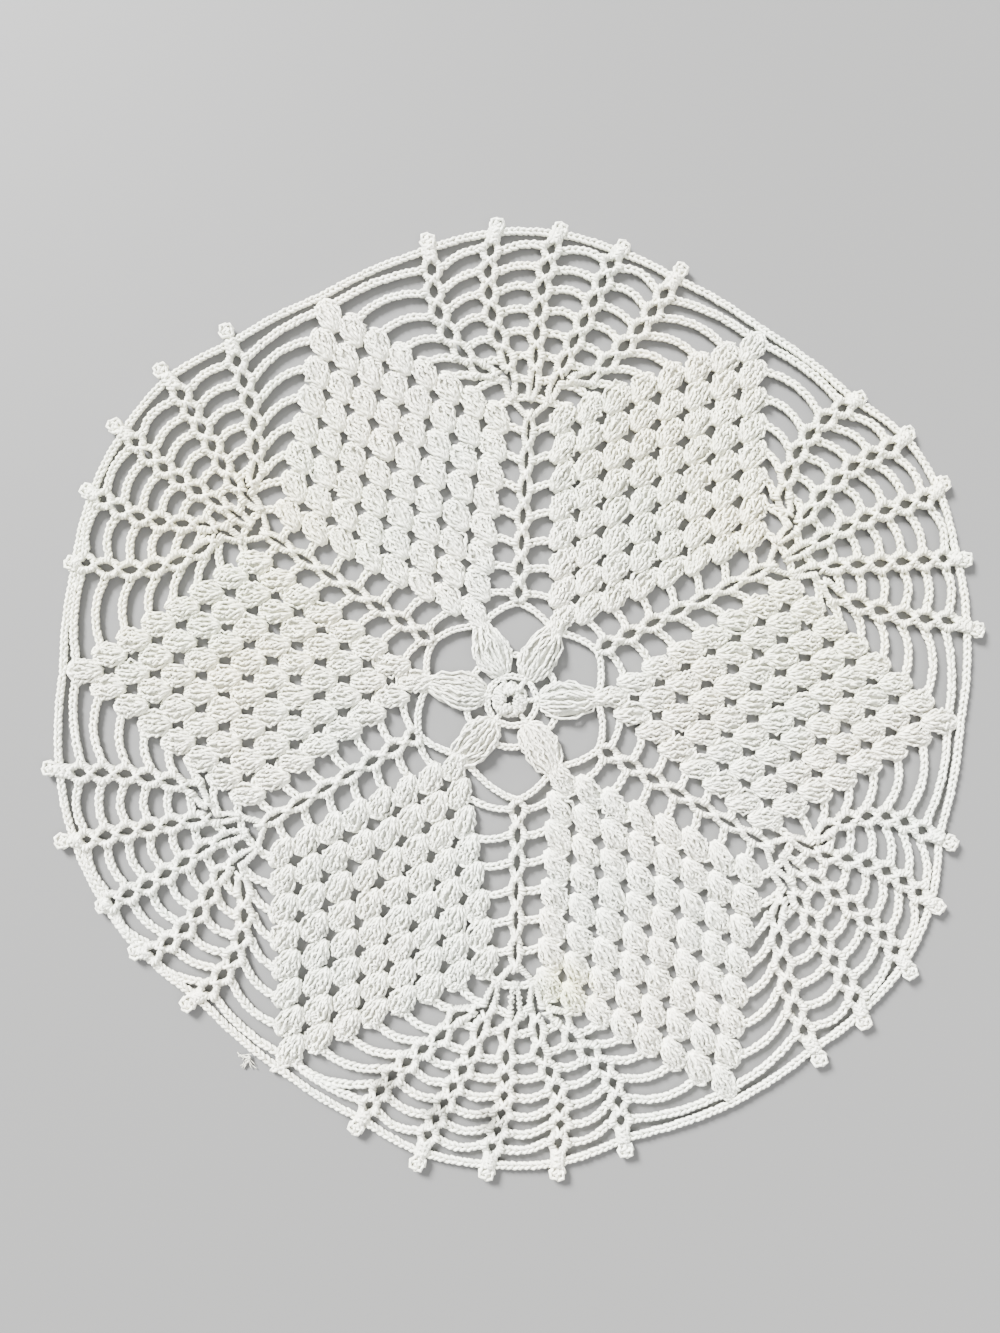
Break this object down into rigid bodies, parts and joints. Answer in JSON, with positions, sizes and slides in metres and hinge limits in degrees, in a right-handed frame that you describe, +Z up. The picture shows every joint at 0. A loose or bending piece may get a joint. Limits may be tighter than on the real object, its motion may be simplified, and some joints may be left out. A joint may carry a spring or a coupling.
{
  "type": "crocheted doily",
  "caption": "Round crocheted cotton doily lying flat, with raised puff panels, open ladders and fans, and a picot edge.",
  "frame": {"origin": "on the flat underside, under the middle of the centre ring", "axes": "+Z up out of the cloth, +Y towards the top fan of the pattern"},
  "size_m": [0.2747, 0.2804, 0.0033],
  "materials": {
    "doily": "undyed matt cotton thread"
  },
  "bodies": {
    "root": {"doily": "doily"}
  },
  "joints": []
}
